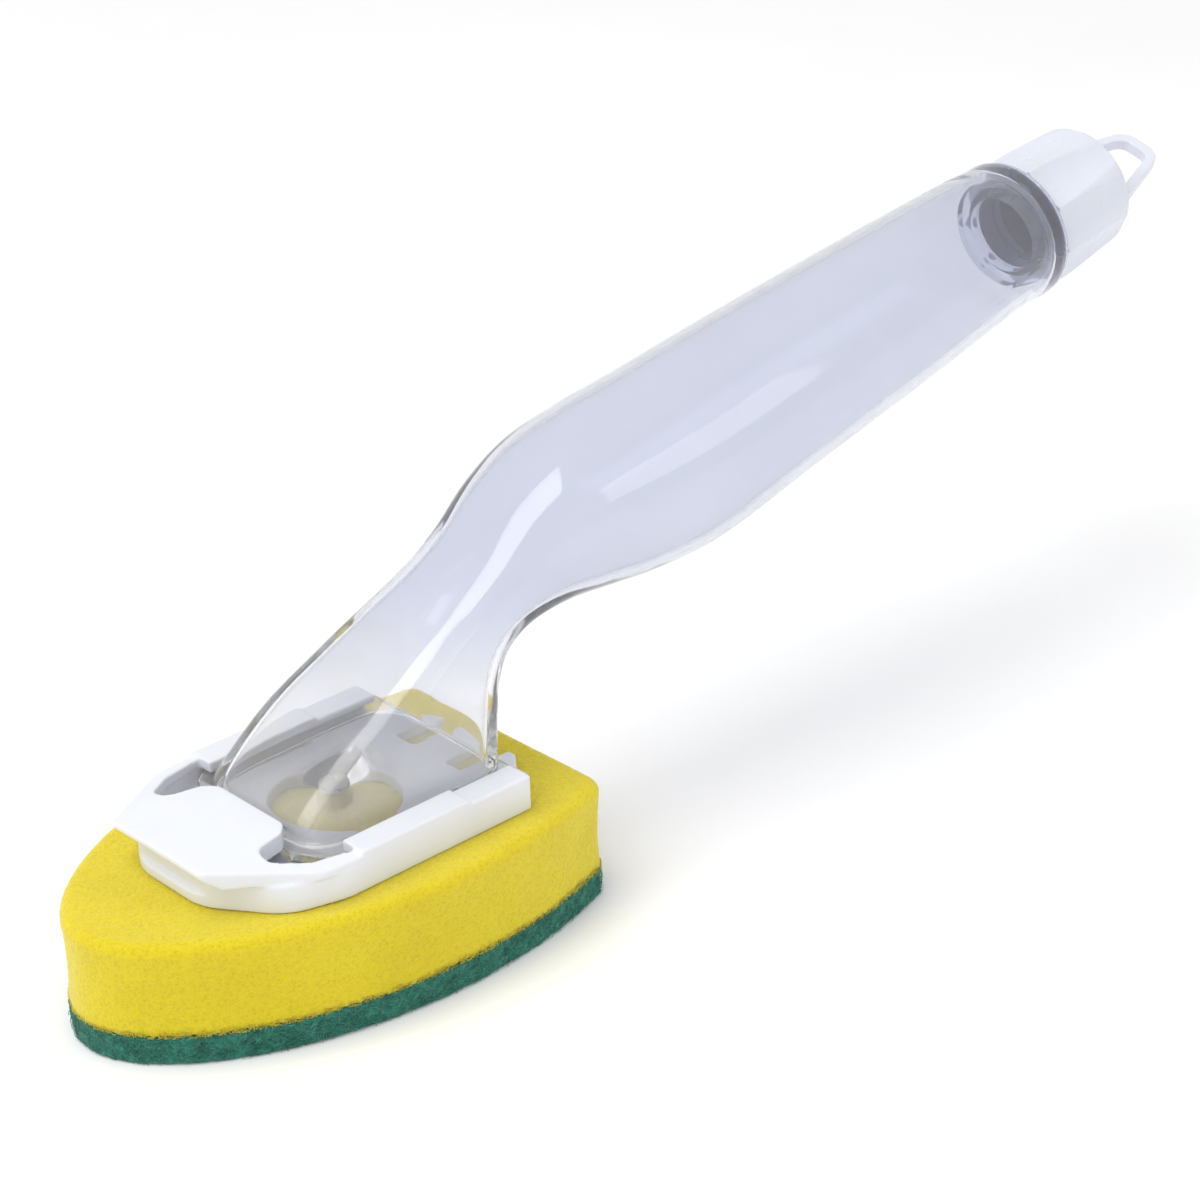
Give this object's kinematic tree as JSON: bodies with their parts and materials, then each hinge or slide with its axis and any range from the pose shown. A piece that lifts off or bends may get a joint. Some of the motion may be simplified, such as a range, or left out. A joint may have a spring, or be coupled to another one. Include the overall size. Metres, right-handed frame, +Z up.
{
  "type": "soap-dispensing dish wand",
  "caption": "Dish-washing wand: a clear soap-filled handle with a screw cap and a slide-on foam and scouring-pad refill.",
  "frame": {"origin": "on the axis of the soap outlet, at the scouring pad's flat underside", "axes": "+Z up out of the scouring pad, +X along the handle towards the cap, Y across"},
  "size_m": [0.2741, 0.0626, 0.0981],
  "materials": {
    "clear_plastic": "clear, glossy, faint lavender-grey tint",
    "valve_silicone": "translucent matt silicone",
    "seal_foam": "matt, soft",
    "cap_plastic": "satin white",
    "cradle_plastic": "satin white",
    "yellow_foam": "open-cell foam, matt",
    "green_scourer": "rough non-woven fibre"
  },
  "bodies": {
    "handle": {"handle_upper_shell": "clear_plastic", "handle_lower_shell": "clear_plastic", "threaded_neck": "clear_plastic", "outlet_valve": "valve_silicone"},
    "refill": {"refill_cradle": "cradle_plastic", "foam_block": "yellow_foam", "scouring_pad": "green_scourer"},
    "seal": {"cap_seal": "seal_foam"},
    "cap": {"screw_cap": "cap_plastic"}
  },
  "joints": [
    {"name": "refill_slide", "type": "slide", "parent": "handle", "child": "refill", "axis": [-1, 0, 0], "range_m": [0, 0.045]},
    {"name": "cap_rise", "type": "slide", "parent": "handle", "child": "seal", "axis": [0.986, 0, 0.1668], "range_m": [0, 0.004]},
    {"name": "cap_turn", "type": "hinge", "parent": "seal", "child": "cap", "pos_m": [0.179, 0, 0.0826], "axis": [0.986, 0, 0.1668], "range_deg": [0, 360]}
  ],
  "couplings": [
    {"joint": "cap_rise", "follows": "cap_turn", "m_per_rad": 0.00063662}
  ]
}
